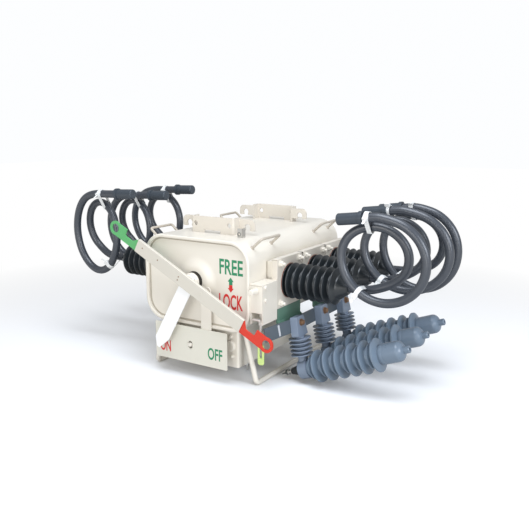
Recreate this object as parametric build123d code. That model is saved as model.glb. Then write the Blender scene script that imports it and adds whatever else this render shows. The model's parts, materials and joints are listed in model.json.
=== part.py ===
"""Pole-mounted gas load break switch, standing on its skids, as separate pieces in millimetres.

X runs across the tank towards the arrester side, Y from the front cover to the rear cover, Z up.
The origin is on the floor under the middle of the tank.
"""

import math
import os

from build123d import *

# Tank
tank_width = 480.0
tank_height = 336.0
tank_depth = 710.0
tank_floor_clearance = 206.0
tank_corner_radius = 85.0
tank_wall = 5.0
rim_width = 13.0
rim_depth = 12.0
rim_round = 5.0

# Front and rear covers
cover_thickness = 5.0
cover_recess = 12.0
cover_gap = 0.3
dome_radius = 96.0
dome_crown_radius = 44.0
dome_height = 12.0
rear_cover_recess = 8.0

# Operating shaft and handle
shaft_height = 380.0
shaft_radius = 15.0
shaft_bore_gap = 0.3
hub_radius = 28.0
hub_length = 22.0
collar_radius = 33.0
handle_plane_offset = 54.0
handle_bar_width = 52.0
handle_bar_depth = 13.0
handle_bar_wall = 4.0
handle_tilt = 27.3
hook_plate_thickness = 6.0
hook_plate_gap = 0.5
hook_ring_reach = 384.0
close_hook_length = 112.0
open_hook_length = 123.0
hook_ring_radius = 28.0
hook_eye_radius = 17.0
hook_notch_offset = 54.0
hook_notch_width = 40.0
hook_notch_round = 7.0
hook_overlap = 95.0
pointer_width = 58.0
pointer_length = 311.0
pointer_near_shoulder = 254.0
pointer_far_shoulder = 281.0
pointer_thickness = 4.0
pointer_plane_offset = 36.0
pointer_tip_width = 12.0
pointer_tip_round = 5.0
pointer_lean = 29.5

# Indicator plate, strap and mechanism box
plate_width = 338.0
plate_height = 142.0
plate_thickness = 3.0
plate_base = 60.0
plate_centre_x = -18.0
plate_offset = 11.0
plate_corner_round = 5.0
plate_slot_width = 20.0
plate_slot_height = 30.0
strap_width = 46.0
strap_thickness = 5.0
strap_centre_x = 55.0
strap_top = 364.0
strap_round = 14.0
strap_boss_radius = 11.0
strap_boss_height = 348.0
box_width = 342.0
box_depth = 430.0
box_height = 146.0
box_setback = 35.0
box_corner_round = 8.0
spacer_radius = 8.0
box_boss_radius = 21.0
box_boss_length = 10.0
box_boss_x = 136.0
box_boss_height = 142.0

# Lock box on the right side, its button, latch and pull rod
lock_box_width = 52.0
lock_box_gap = 0.3
lock_box_base = 250.0
lock_box_height = 146.0
lock_box_wall = 4.0
lock_box_setback = 8.0
lock_mouth_height = 42.0
lock_mouth_depth = 62.0
lock_button_radius = 11.5
lock_button_tip_radius = 10.5
lock_button_length = 37.0
lock_button_round = 3.0
lock_button_height = 124.0
lock_latch_width = 33.0
lock_latch_height = 6.0
lock_latch_rise = 14.0
lock_roller_radius = 9.0
lock_roller_length = 24.0
lock_roller_round = 2.0
lock_rod_radius = 5.0
lock_rod_bore_gap = 0.3
lock_rod_drop = 82.0
lock_rod_rise = 34.0
pull_ring_length = 78.0
pull_ring_width = 26.0
pull_ring_corner_round = 10.0
pull_ring_thickness = 7.0
pull_ring_slot_width = 10.0
pull_ring_top_wall = 9.0
pull_ring_low_end = 26.0
pull_ring_edge_round = 2.5

# Bushing boxes, flanges and bushings
bushing_pitch = 192.0
bushing_set_back = 38.0
bushing_drop = 163.0
bushing_box_reach = 28.5
bushing_box_inset = 12.0
flange_width = 183.0
flange_height = 186.0
flange_thickness = 23.5
flange_corner_round = 6.0
bushing_count = 3
shed_count = 7
shed_pitch = 29.0
shed_radius = 67.0
shed_tip = 5.0
shed_core_radius = 47.0
shed_start = 4.0
bushing_collar_radius = 64.0
bushing_tip_length = 36.0
bushing_tip_radius = 23.0
lead_radius = 15.8

# Lead caps
cap_radius = 20.5
cap_length = 95.0
cap_collar_radius = 24.0
cap_collar_length = 14.0
cap_round = 5.0

# Hangers and the earth tab on top
hanger_spread = 480.0
hanger_half_width = 99.0
hanger_joggle = 36.5
hanger_reach = 168.0
hanger_height = 63.0
hanger_thickness = 7.0
hanger_bend_round = 9.0
hanger_ear_rise = 15.0
hanger_ear_top = 58.0
hanger_corner_round = 20.0
hanger_finger_round = 5.0
hanger_slot_width = 20.0
hanger_slot_radius = 12.5
hanger_slot_height = 28.5
hanger_slot_x = 136.0
hanger_hole_radius = 9.0
hanger_hole_x = 78.0
hanger_hole_height = 34.5
hanger_notch_width = 76.0
hanger_notch_height = 11.0
earth_tab_width = 20.0
earth_tab_depth = 24.0
earth_tab_height = 33.0
earth_tab_thickness = 5.0
earth_tab_hole_radius = 5.0
earth_tab_hole_height = 13.0
earth_tab_x = 147.0
earth_tab_gap = 32.0

# Lifting rods on the shoulders
rod_radius = 5.0
rod_span = 128.0
rod_reach = 52.0
rod_bend = 10.0
rod_spread = 465.0
rod_angle = 42.0

# Skids
skid_radius = 10.0
skid_half_width = 238.0
skid_top_half_width = 188.0
skid_half_length = 302.0
skid_bend = 16.0

# Arresters, their finned hangers and the bar that carries them
bar_middle_x = 322.0
bar_middle_z = 216.0
bar_thickness = 8.0
bar_height = 50.0
bar_rear_end = 255.0
bar_bend_y = -205.0
bar_front_y = -331.0
bar_bend_in = 30.0
arm_thickness = 8.0
arm_width = 170.0
arm_bend_height = 240.0
arm_places = (-156.0, 127.0)
arrester_set_back = 16.0
hanger_block_rise = -5.0
hanger_block_top_width = 52.0
hanger_block_width = 74.0
hanger_block_height = 74.0
hanger_block_thickness = 30.0
hanger_neck_offset = 16.0
hanger_core_radius = 18.0
fin_radius = 42.0
small_fin_radius = 28.0
fin_thickness = 3.5
fin_count = 5
fin_pitch = 15.2
hanger_block_round = 6.0
hanger_lean = 11.5
hanger_reach_down = 170.0
arrester_tilt = 20.4
arrester_base_radius = 37.0
arrester_base_length = 38.0
arrester_base_front = 26.0
arrester_core_radius = 33.0
arrester_shed_radius = 60.0
arrester_small_shed_radius = 45.0
arrester_shed_count = 6
arrester_shed_pitch = 48.2
arrester_shed_tip = 6.0
arrester_first_shed = 29.5
arrester_cap_radius = 37.0
arrester_cap_length = 87.0
arrester_cap_round = 24.0
arrester_nub_radius = 13.0
arrester_nub_length = 21.0
boot_radius = 22.0
boot_tip_radius = 12.0
boot_length = 44.0
boot_dip = 21.0
stud_radius = 5.0
stud_length = 40.0
stud_washer_radius = 11.0
stud_washer_thickness = 3.0

# One overrun serves all cuts
overrun = 4.0
touch = 0.01

# Places that several pieces share
tank_top = tank_floor_clearance + tank_height
bushing_height = tank_top - bushing_drop
handle_close_reach = hook_ring_reach - close_hook_length
handle_open_reach = hook_ring_reach - open_hook_length
hook_notch_end = hook_ring_reach - hook_notch_offset
hook_notch_start = hook_notch_end - hook_notch_width
tank_middle = tank_floor_clearance + tank_height / 2
tank_half_width = tank_width / 2
tank_half_depth = tank_depth / 2
front_y = -tank_half_depth
flange_face_x = tank_half_width + bushing_box_reach + flange_thickness
phases = [bushing_set_back + (n - (bushing_count - 1) / 2) * bushing_pitch for n in range(bushing_count)]
arrester_places = [y - bushing_set_back + arrester_set_back for y in phases]
phase_names = ("front", "middle", "rear")
sides = {"right": 1, "left": -1}

os.makedirs("parts", exist_ok=True)


def facing_front(y, x=0.0, z=0.0):
    """A work plane that looks towards the front: local x is X, local y is Z."""
    return Plane(origin=(x, y, z), x_dir=(1, 0, 0), z_dir=(0, -1, 0))


def write(name, shape):
    """Write one piece to its own file."""
    export_step(shape, f"parts/{name}.step")


def edges_on(shape, axis, place):
    """The edges whose middle lies at one place along an axis."""
    return shape.edges().filter_by(lambda edge: abs(edge.center().dot(axis.direction) - place) < touch)


def block(x0, x1, y0, y1, z0, z1):
    """A box from its low and high corners."""
    return Pos((x0 + x1) / 2, (y0 + y1) / 2, (z0 + z1) / 2) * Box(x1 - x0, y1 - y0, z1 - z0)


from_base = (Align.CENTER, Align.CENTER, Align.MIN)


def bar_between(start, end, radius):
    """A round bar from one point to another."""
    start = Vector(*start)
    run = Vector(*end) - start
    return Plane(origin=start, z_dir=run) * Cylinder(radius, run.length, align=from_base)


def bent_bar(points, radius, bend):
    """A round bar along straight runs with rounded corners."""
    path = FilletPolyline(*points, radius=bend)
    return sweep(Plane(origin=path @ 0, z_dir=path % 0) * Circle(radius), path=path)


def turned(profile):
    """A piece turned about Z from its (radius, height) outline."""
    outline = Polyline(*[(r, 0, h) for r, h in profile], close=True)
    return revolve(make_face(outline), Axis.Z)


# Tank shell: a rounded rectangular tube whose front edge is rolled inwards
def tank_section(inset):
    return RectangleRounded(tank_width - 2 * inset, tank_height - 2 * inset, tank_corner_radius - inset)


def tank_solid(inset, y_back, y_front):
    return extrude(facing_front(y_back, z=tank_middle) * tank_section(inset), y_back - y_front)


def tank_shell():
    outside = tank_solid(0, tank_half_depth, front_y)
    inside = tank_solid(tank_wall, tank_half_depth + overrun, front_y + rim_depth)
    mouth = tank_solid(rim_width, tank_half_depth, front_y - overrun)
    shell = outside - inside - mouth
    return fillet(edges_on(shell, Axis.Y, front_y), rim_round)


tank_outside = tank_solid(0, tank_half_depth, front_y)
cover_back_y = front_y + cover_recess + cover_thickness
cover_front_y = front_y + cover_recess


# Front cover: a flat pressing behind the rim, swelling softly round the shaft
def front_cover():
    flat = tank_solid(tank_wall + cover_gap, cover_back_y, cover_front_y)
    swell = Spline((dome_crown_radius, 0, dome_height), (dome_radius, 0, 0), tangents=((1, 0, 0), (1, 0, 0)))
    rim = Polyline((dome_radius, 0, 0), (0, 0, 0), (0, 0, dome_height), (dome_crown_radius, 0, dome_height))
    dome = facing_front(cover_front_y, z=shaft_height) * revolve(make_face([swell, rim]), Axis.Z)
    bore = extrude(
        facing_front(cover_back_y + overrun, z=shaft_height) * Circle(shaft_radius + shaft_bore_gap),
        cover_thickness + dome_height + 2 * overrun,
    )
    return flat + dome - bore


def rear_cover():
    face_y = tank_half_depth - rear_cover_recess
    return tank_solid(tank_wall + cover_gap, face_y, face_y - cover_thickness)


# Handle: shaft, channel bar, two hook plates and the pointer, turned to the closed position
handle_front_y = front_y - handle_plane_offset
handle_web_back_y = handle_front_y + handle_bar_wall
handle_back_y = handle_front_y + handle_bar_depth
hook_plate_front_y = handle_web_back_y + hook_plate_gap
hook_plate_back_y = hook_plate_front_y + hook_plate_thickness
pointer_back_y = front_y - pointer_plane_offset
pointer_front_y = pointer_back_y - pointer_thickness


def on_handle(y):
    """The handle's own plane: local x runs along the bar to the closing hook, local y across it."""
    return facing_front(y, z=shaft_height).location * Rot(0, 0, -handle_tilt)


def operating_shaft():
    hub = extrude(facing_front(pointer_front_y, z=shaft_height) * Circle(hub_radius),
                  pointer_front_y - handle_back_y)
    collar_back_y = pointer_back_y + hub_length
    collar = extrude(facing_front(collar_back_y, z=shaft_height) * Circle(collar_radius), hub_length)
    shaft = extrude(facing_front(cover_back_y, z=shaft_height) * Circle(shaft_radius),
                    cover_back_y - handle_back_y)
    return shaft + hub + (collar & block(-tank_width, tank_width, front_y - tank_depth,
                                         cover_front_y - dome_height - cover_gap, 0, tank_top))


def handle_bar():
    length = handle_close_reach + handle_open_reach
    middle = Pos((handle_close_reach - handle_open_reach) / 2, 0)
    bar = extrude(on_handle(handle_back_y) * middle * Rectangle(length, handle_bar_width), handle_bar_depth)
    long_edges = edges_on(bar, Axis.Y, handle_front_y).sort_by(SortBy.LENGTH)[-2:]
    bar = fillet(long_edges, handle_bar_wall / 2)
    groove_width = handle_bar_width - 2 * handle_bar_wall
    groove = extrude(on_handle(handle_back_y + overrun) * middle * Rectangle(length + overrun, groove_width),
                     handle_bar_depth - handle_bar_wall + overrun)
    web = extrude(on_handle(handle_back_y) * Circle(hub_radius - hook_plate_gap),
                  handle_bar_depth - handle_bar_wall)
    seat = web & extrude(on_handle(handle_back_y) * Rectangle(length, groove_width), handle_bar_depth)
    return bar - groove + seat


def hook_plate(direction):
    """One end plate: an eye, a hook notch on the upper edge and a tongue inside the channel."""
    start = handle_close_reach if direction > 0 else handle_open_reach
    half = handle_bar_width / 2
    tongue_half = half - handle_bar_wall - hook_plate_gap
    head = Pos(hook_ring_reach, 0) * Circle(hook_ring_radius)
    cheek_length = hook_ring_reach - start
    cheek = Pos(start + cheek_length / 2, 0) * Rectangle(cheek_length, handle_bar_width)
    tongue = Pos(start - hook_overlap / 2, 0) * Rectangle(hook_overlap, 2 * tongue_half)
    eye = Pos(hook_ring_reach, 0) * Circle(hook_eye_radius)
    notch = Pos((hook_notch_start + hook_notch_end) / 2, half) * RectangleRounded(
        hook_notch_width, handle_bar_width, hook_notch_round)
    slope = make_face(Polyline((start, half + overrun), (hook_notch_start + hook_notch_round, half + overrun),
                               (hook_notch_start + hook_notch_round, 0), (hook_notch_start, 0), (start, half),
                               close=True))
    outline = head + cheek + tongue - eye - notch - slope
    if direction < 0:
        outline = mirror(outline, Plane.YZ)
    return extrude(on_handle(hook_plate_back_y) * outline, hook_plate_thickness)


def position_pointer():
    """A long blade whose slanting point covers one of the plate's two marks."""
    half = pointer_width / 2
    tip = pointer_tip_width / 2
    blade = make_face(Polyline((half, 0), (half, -pointer_near_shoulder), (tip, -pointer_length),
                               (-tip, -pointer_length), (-half, -pointer_far_shoulder), (-half, 0), close=True))
    blade = fillet(blade.vertices().sort_by(Axis.Y)[:2], pointer_tip_round)
    lobe = Circle(half)
    bore = Circle(shaft_radius + shaft_bore_gap)
    place = facing_front(pointer_back_y, z=shaft_height).location * Rot(0, 0, -pointer_lean)
    return extrude(place * (blade + lobe - bore), pointer_thickness)


# Indicator plate on its strap, in front of the mechanism box
plate_front_y = front_y - plate_offset
plate_back_y = plate_front_y + plate_thickness
box_front_y = front_y + box_setback
box_top = tank_floor_clearance
plate_middle = plate_base + plate_height / 2


def indicator_plate():
    face = RectangleRounded(plate_width, plate_height, plate_corner_round)
    slot = SlotOverall(plate_slot_height, plate_slot_width, rotation=90)
    return extrude(facing_front(plate_back_y, plate_centre_x, plate_middle) * (face - slot), plate_thickness)


def indicator_strap():
    """A flat strap with a round top, held off the cover by a boss."""
    length = strap_top - plate_middle
    flat = block(strap_centre_x - strap_width / 2, strap_centre_x + strap_width / 2,
                 plate_back_y, plate_back_y + strap_thickness, plate_middle, strap_top)
    corners = flat.edges().filter_by(Axis.Y).filter_by(lambda edge: edge.center().Z > strap_top - length / 2)
    flat = fillet(corners, strap_round)
    boss_back_y = plate_back_y + strap_thickness
    boss = extrude(facing_front(cover_back_y, strap_centre_x, strap_boss_height) * Circle(strap_boss_radius),
                   cover_back_y - boss_back_y)
    return flat + (boss - front_cover())


def mechanism_box():
    width = box_width
    body = block(-width / 2, width / 2, box_front_y, box_front_y + box_depth, box_top - box_height, box_top)
    upright = body.edges().filter_by(Axis.Z)
    body = fillet(upright, box_corner_round)
    spacers = [extrude(facing_front(box_front_y, x, plate_middle) * Circle(spacer_radius),
                       box_front_y - plate_back_y)
               for x in (plate_centre_x, plate_centre_x - plate_width / 3)]
    boss = extrude(facing_front(box_front_y, box_boss_x, box_boss_height) * Circle(box_boss_radius),
                   box_boss_length)
    return body + spacers + fillet(edges_on(boss, Axis.Y, box_front_y - box_boss_length), box_boss_length / 2)


# Lock box with an open mouth below, a button, a latch with its roller and the pull rod
lock_x0 = tank_half_width
lock_x1 = lock_x0 + lock_box_width
lock_y0 = front_y + lock_box_setback
lock_y1 = phases[0] - flange_width / 2 - lock_box_gap
lock_z0 = lock_box_base
lock_z1 = lock_z0 + lock_box_height
lock_middle_x = (lock_x0 + lock_x1) / 2
lock_rod_y = lock_y0 + lock_mouth_depth / 2


def lock_box():
    body = block(lock_x0, lock_x1, lock_y0, lock_y1, lock_z0, lock_z1)
    mouth = block(lock_x0 + lock_box_wall, lock_x1 - lock_box_wall,
                  lock_y0 - overrun, lock_y0 + lock_mouth_depth,
                  lock_z0 - overrun, lock_z0 + lock_mouth_height)
    rod_bore = bar_between((lock_middle_x, lock_rod_y, lock_z0),
                           (lock_middle_x, lock_rod_y, lock_z0 + lock_mouth_height + lock_rod_rise + overrun),
                           lock_rod_radius + lock_rod_bore_gap)
    return body - mouth - rod_bore


def lock_button():
    seat = facing_front(lock_y0, lock_middle_x, lock_z0 + lock_button_height)
    pin = Cone(lock_button_radius, lock_button_tip_radius, lock_button_length,
               align=from_base)
    return seat * fillet(pin.edges().sort_by(Axis.Z)[-1], lock_button_round)


def lock_rod():
    return bar_between((lock_middle_x, lock_rod_y, lock_z0 - lock_rod_drop),
                       (lock_middle_x, lock_rod_y, lock_z0 + lock_mouth_height + lock_rod_rise), lock_rod_radius)


def lock_latch():
    """A flat dog on the rod, with a round collar under it."""
    low = lock_z0 + lock_latch_rise
    high = low + lock_latch_height
    dog = block(lock_middle_x - lock_latch_width / 2, lock_middle_x + lock_latch_width / 2,
                lock_y0, lock_rod_y + lock_latch_width / 2, low, high)
    collar = bar_between((lock_middle_x, lock_rod_y, low - lock_roller_length), (lock_middle_x, lock_rod_y, low),
                         lock_roller_radius)
    collar = fillet(edges_on(collar, Axis.Z, low - lock_roller_length), lock_roller_round)
    bore = bar_between((lock_middle_x, lock_rod_y, low - lock_roller_length - overrun),
                       (lock_middle_x, lock_rod_y, high + overrun), lock_rod_radius)
    return dog + collar - bore


def lock_pull_ring():
    """A flat coated loop under the rod, with a long slot and a solid lower end."""
    middle = lock_z0 - lock_rod_drop - pull_ring_length / 2
    slot_length = pull_ring_length - pull_ring_top_wall - pull_ring_low_end
    slot_rise = (pull_ring_low_end - pull_ring_top_wall) / 2
    outline = RectangleRounded(pull_ring_width, pull_ring_length, pull_ring_corner_round)
    outline -= Pos(0, slot_rise) * SlotOverall(slot_length, pull_ring_slot_width, rotation=90)
    back_y = lock_rod_y + pull_ring_thickness / 2
    loop = extrude(facing_front(back_y, lock_middle_x, middle) * outline, pull_ring_thickness)
    rims = edges_on(loop, Axis.Y, back_y) + edges_on(loop, Axis.Y, back_y - pull_ring_thickness)
    return fillet(rims, pull_ring_edge_round)


# Bushing boxes, flanges and ribbed bushings
def bushing_box(side):
    y0 = phases[0] - flange_width / 2 + bushing_box_inset
    y1 = phases[-1] + flange_width / 2 - bushing_box_inset
    half_z = flange_height / 2 - bushing_box_inset
    body = block(0, tank_half_width + bushing_box_reach, y0, y1,
                 bushing_height - half_z, bushing_height + half_z)
    return mirrored(body - tank_outside, side)


def mirrored(shape, side):
    return shape if side > 0 else mirror(shape, Plane.YZ)


def flange_plates(side):
    plate = RectangleRounded(flange_width, flange_height, flange_corner_round)
    x = tank_half_width + bushing_box_reach
    plates = [extrude(Plane(origin=(x, y, bushing_height), x_dir=(0, 1, 0), z_dir=(1, 0, 0)) * plate,
                      flange_thickness) for y in phases]
    return mirrored(Compound(children=plates), side)


def bushing_outline():
    outline = [(0, 0), (bushing_collar_radius, 0), (bushing_collar_radius, shed_start)]
    for n in range(shed_count):
        root = shed_start + n * shed_pitch
        outline += [(shed_core_radius, root), (shed_radius, root + shed_pitch / 2 - shed_tip / 2),
                    (shed_radius, root + shed_pitch / 2 + shed_tip / 2)]
    end = shed_start + shed_count * shed_pitch
    tip_end = end + bushing_tip_length
    outline += [(shed_core_radius, end), (bushing_tip_radius, tip_end), (0, tip_end)]
    return outline


bushing_length = shed_start + shed_count * shed_pitch + bushing_tip_length
lead_exit_x = flange_face_x + bushing_length


def bushing(side, y):
    seat = Plane(origin=(side * flange_face_x, y, bushing_height), x_dir=(0, 1, 0), z_dir=(side, 0, 0))
    return seat * turned(bushing_outline())


# Leads: each leaves its bushing, turns once round a small lap and once round a wider one, and ends in a cap.
# A lap is (centre beyond the bushing tip, centre height, half width, half height); the lean is how far the lap
# stands in front of the bushing at its far side.
lead_first_laps = {
    ("right", "front"): (105, 507, 118, 108), ("right", "middle"): (103, 508, 114, 107),
    ("right", "rear"): (103, 500, 116, 112), ("left", "front"): (94, 510, 98, 114),
    ("left", "middle"): (80, 508, 102, 108), ("left", "rear"): (68, 512, 112, 112),
}
lead_second_laps = {
    ("right", "front"): (144, 500, 156, 148), ("right", "middle"): (154, 505, 164, 147),
    ("right", "rear"): (140, 483, 152, 160), ("left", "front"): (98, 488, 124, 172),
    ("left", "middle"): (82, 494, 126, 146), ("left", "rear"): (88, 500, 146, 150),
}
lead_leans = {"front": -58, "middle": -60, "rear": -62}
lead_tails = {"right": ((34.0, -1.0), (66.0, -5.0)), "left": ((60.0, 1.0), (134.0, 4.0))}
lead_cap_forward = -18.0
lead_start_run = 46.0
lead_start_rise = 5.0
lead_step_angle = 30.0
lead_first_angle = -60.0
lead_last_angle = 450.0
lead_widen_from = 120.0
lead_widen_to = 250.0
lead_forward_to = 160.0
lead_cap_from = 300.0
lead_bend_share = 0.45


def share_between(value, low, high):
    """How far a value has come from low to high, held between nothing and all."""
    return min(1.0, max(0.0, (value - low) / (high - low)))


def lead_route(side_name, phase_name, y):
    side = sides[side_name]
    first = lead_first_laps[side_name, phase_name]
    second = lead_second_laps[side_name, phase_name]
    points = [(lead_exit_x, y, bushing_height), (lead_exit_x + lead_start_run, y, bushing_height),
              (lead_exit_x + 2 * lead_start_run, y - lead_start_rise, bushing_height + lead_start_rise)]
    count = round((lead_last_angle - lead_first_angle) / lead_step_angle)
    for n in range(count + 1):
        angle = lead_first_angle + n * lead_step_angle
        widen = share_between(angle, lead_widen_from, lead_widen_to)
        centre_x, centre_z, half_x, half_z = [a + (b - a) * widen for a, b in zip(first, second)]
        forward = lead_leans[phase_name] * share_between(angle, lead_first_angle, lead_forward_to)
        forward += lead_cap_forward * share_between(angle, lead_cap_from, lead_last_angle)
        points.append((lead_exit_x + centre_x + half_x * math.cos(math.radians(angle)), y + forward,
                       centre_z + half_z * math.sin(math.radians(angle))))
    top_x, top_y, top_z = points[-1]
    points += [(top_x - run, top_y, top_z + rise) for run, rise in lead_tails[side_name]]
    return [Vector(side * px, py, pz) for px, py, pz in points]


def lead_radii(points):
    """The largest bend that two runs allow, at each inner point of a route."""
    radii = []
    for before, here, after in zip(points, points[1:], points[2:]):
        turn = math.radians((here - before).get_angle(after - here))
        shorter = min((here - before).length, (after - here).length)
        radii.append(lead_bend_share * shorter / math.tan(turn / 2))
    return radii


def lead(points):
    path = FilletPolyline(*points, radius=lead_radii(points))
    return sweep(Plane(origin=path @ 0, z_dir=path % 0) * Circle(lead_radius), path=path), path.length


def lead_cap(points):
    """A moulded cap with a collar on the free end."""
    end = points[-1]
    along = (end - points[-2]).normalized()
    body = Cylinder(cap_radius, cap_length, align=from_base)
    body = fillet(body.edges().sort_by(Axis.Z)[-1], cap_round)
    collar = Cylinder(cap_collar_radius, cap_collar_length, align=from_base)
    return Plane(origin=end, z_dir=along) * (body + collar)


# Hangers: plates bent back at both ends into ears with open hooks, welded across the top
def hanger_sheet():
    """The bent sheet of the front hanger, before its holes and hooks are cut."""
    face_y = -hanger_spread / 2
    ear_y = face_y + hanger_joggle
    half = hanger_half_width
    inner = half - hanger_thickness
    crown = tank_top + hanger_height
    sheet = block(-half, half, face_y, face_y + hanger_thickness, tank_top, crown)
    ears = []
    for x in (-1, 1):
        sheet += block(*sorted((x * inner, x * half)), face_y, ear_y + hanger_thickness, tank_top, crown)
        ear = block(*sorted((x * inner, x * hanger_reach)), ear_y, ear_y + hanger_thickness,
                    tank_top + hanger_ear_rise, tank_top + hanger_ear_top)
        along_y = ear.edges().filter_by(Axis.Y)
        outer = along_y.filter_by(lambda edge: abs(edge.center().X) > half).sort_by(Axis.Z)
        ear = fillet(outer[-1], hanger_corner_round)
        ears.append(ear)
    bends = sheet.edges().filter_by(Axis.Z).filter_by(
        lambda edge: abs(edge.center().Y - face_y) < touch and abs(abs(edge.center().X) - half) < touch)
    return fillet(bends, hanger_bend_round) + ears


def hanger(end):
    """end is -1 at the front and 1 at the rear; the ears stand nearer the middle of the tank."""
    behind_y = -hanger_spread / 2 + 2 * hanger_joggle
    cut_depth = 2 * hanger_joggle + overrun
    sheet = hanger_sheet()
    for x in (-1, 1):
        eye = Pos(x * hanger_slot_x, hanger_slot_height) * Circle(hanger_slot_radius)
        mouth = Pos(x * hanger_slot_x, hanger_slot_height / 2) * Rectangle(hanger_slot_width,
                                                                           hanger_slot_height)
        hole = Pos(x * hanger_hole_x, hanger_hole_height) * Circle(hanger_hole_radius)
        sheet -= extrude(facing_front(behind_y, z=tank_top) * (eye + mouth + hole), cut_depth)
    finger_ends = sheet.edges().filter_by(Axis.Y).filter_by(
        lambda edge: abs(edge.center().X) > hanger_slot_x
        and abs(edge.center().Z - tank_top - hanger_ear_rise) < touch)
    sheet = fillet(finger_ends, hanger_finger_round)
    sheet -= block(-hanger_notch_width / 2, hanger_notch_width / 2, behind_y - cut_depth, behind_y,
                   tank_top - overrun, tank_top + hanger_notch_height)
    return sheet if end < 0 else mirror(sheet, Plane.XZ)


def earth_tab():
    """A small angle on the top, with a hole in its front leg."""
    y = -hanger_spread / 2 - earth_tab_gap
    x0 = earth_tab_x - earth_tab_width / 2
    x1 = earth_tab_x + earth_tab_width / 2
    front_leg = block(x0, x1, y, y + earth_tab_thickness, tank_top, tank_top + earth_tab_height)
    side_leg = block(x1 - earth_tab_thickness, x1, y, y + earth_tab_depth,
                     tank_top, tank_top + earth_tab_height)
    hole_x = earth_tab_x - earth_tab_thickness / 2
    hole = extrude(facing_front(y + earth_tab_depth, hole_x, tank_top + earth_tab_hole_height)
                   * Circle(earth_tab_hole_radius), 2 * earth_tab_depth)
    return front_leg + side_leg - hole


# Lifting rods: bent bars that lean out from the shoulders
def lifting_rod(side, end):
    arc_x = tank_half_width - tank_corner_radius
    arc_z = tank_top - tank_corner_radius
    lean = math.radians(rod_angle)
    foot_x = arc_x + (tank_corner_radius - rod_radius) * math.cos(lean)
    foot_z = arc_z + (tank_corner_radius - rod_radius) * math.sin(lean)
    top_x = foot_x + (rod_reach + rod_radius) * math.cos(lean)
    top_z = foot_z + (rod_reach + rod_radius) * math.sin(lean)
    middle = end * rod_spread / 2
    y0 = middle - rod_span / 2
    y1 = middle + rod_span / 2
    bar = bent_bar([(foot_x, y0, foot_z), (top_x, y0, top_z), (top_x, y1, top_z), (foot_x, y1, foot_z)],
                   rod_radius, rod_bend)
    return mirrored(bar - tank_outside, side)


# Skids: round bars bent to a U, splayed under the tank
def skid(side):
    top_z = tank_floor_clearance + tank_corner_radius / 2
    slope = (skid_half_width - skid_top_half_width) / (tank_floor_clearance - skid_radius)
    top_x = skid_top_half_width - slope * (top_z - tank_floor_clearance)
    bar = bent_bar([(top_x, -skid_half_length, top_z), (skid_half_width, -skid_half_length, skid_radius),
                    (skid_half_width, skid_half_length, skid_radius), (top_x, skid_half_length, top_z)],
                   skid_radius, skid_bend)
    return mirrored(bar - tank_outside, side)


# Arrester bar: a leaning flat, bent in at its front end, on upright arms under the flanges
bar_place = Pos(bar_middle_x, 0, bar_middle_z) * Rot(0, -hanger_lean, 0)
flange_base = bushing_height - flange_height / 2


def arrester_bar():
    half = bar_thickness / 2
    line = [(half, bar_rear_end), (half, bar_bend_y), (half - bar_bend_in, bar_front_y)]
    back = [(x - bar_thickness, y) for x, y in reversed(line)]
    plan = make_face(Polyline(*line, *back, close=True))
    return bar_place * extrude(Plane.XY.offset(-bar_height / 2) * plan, bar_height)


def bar_arms():
    """Bent plates that hang from the flange plates and reach out to the back of the bar."""
    face_x = flange_face_x
    back_x = face_x - arm_thickness
    bar_back = bar_place * Pos(-bar_thickness / 2, 0, 0)
    foot_x = bar_back.position.X
    foot_z = bar_back.position.Z
    lean = math.radians(hanger_lean)
    foot_low = (foot_x + bar_height / 2 * math.sin(lean), foot_z - bar_height / 2 * math.cos(lean))
    profile = make_face(Polyline((face_x, 0, flange_base), (face_x, 0, arm_bend_height),
                                 (foot_x, 0, foot_z), (foot_low[0], 0, foot_low[1]),
                                 (back_x, 0, arm_bend_height - arm_thickness), (back_x, 0, flange_base),
                                 close=True))
    half = bar_thickness / 2
    plan = make_face(Polyline((-half, bar_rear_end), (-half, bar_bend_y), (-half - bar_bend_in, bar_front_y),
                              (bar_height, bar_front_y), (bar_height, bar_rear_end), close=True))
    beyond = bar_place * extrude(Plane.XY.offset(-bar_height / 2) * plan, bar_height)
    arms = [Pos(0, y + arm_width / 2, 0) * extrude(profile, arm_width, dir=(0, -1, 0)) for y in arm_places]
    return Compound(children=[arm - beyond for arm in arms])


hanger_axis = Vector(math.sin(math.radians(hanger_lean)), 0, -math.cos(math.radians(hanger_lean)))
hanger_out = Vector(math.cos(math.radians(hanger_lean)), 0, math.sin(math.radians(hanger_lean)))
arrester_axis = Vector(math.cos(math.radians(arrester_tilt)), 0, math.sin(math.radians(arrester_tilt)))
boot_axis = Vector(-math.cos(math.radians(boot_dip)), 0, -math.sin(math.radians(boot_dip)))


def arrester_base(y):
    """The point where an arrester's axis meets its finned hanger."""
    top = Vector(bar_middle_x, y, bar_middle_z) + hanger_out * hanger_neck_offset
    return top + hanger_axis * hanger_reach_down + arrester_axis * arrester_base_front


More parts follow.
